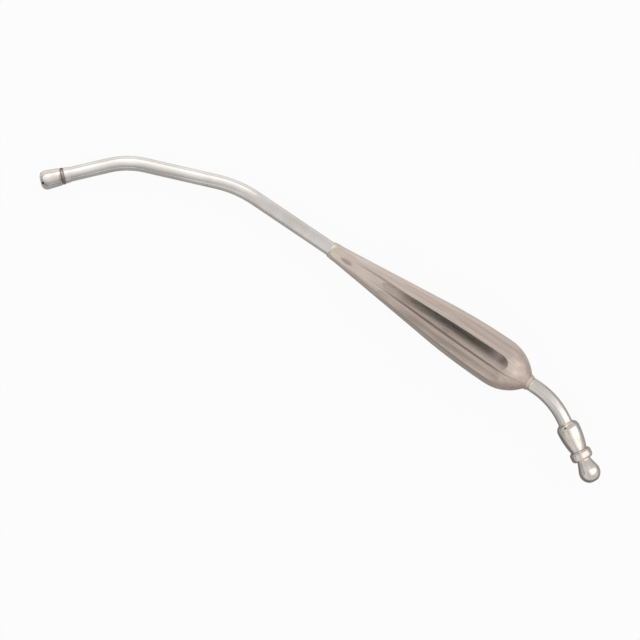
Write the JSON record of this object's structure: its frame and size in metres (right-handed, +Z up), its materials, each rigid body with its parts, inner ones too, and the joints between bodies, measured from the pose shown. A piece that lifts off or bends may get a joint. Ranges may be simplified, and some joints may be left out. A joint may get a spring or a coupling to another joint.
{
  "type": "yankauer suction tip",
  "caption": "Bent steel suction tube with a perforated screw-on tip, a hollow fluted handle and a barbed connector that a soft hose pushes over.",
  "frame": {"origin": "centre of the part's box, on the surface that it lies on", "axes": "+X from the tip end to the hose connector end along the longest extent, +Z up, away from the surface; the bends lie almost level"},
  "size_m": [0.2782, 0.0592, 0.0218],
  "materials": {
    "tip_steel": "polished",
    "ferrule_steel": "polished",
    "tube_steel": "polished",
    "handle_steel": "satin polished",
    "connector_steel": "polished"
  },
  "bodies": {
    "root": {"suction_tip": "tip_steel", "threaded_ferrule": "ferrule_steel", "suction_tube": "tube_steel", "handle_shell_upper": "handle_steel", "handle_shell_lower": "handle_steel", "hose_connector": "connector_steel"}
  },
  "joints": []
}
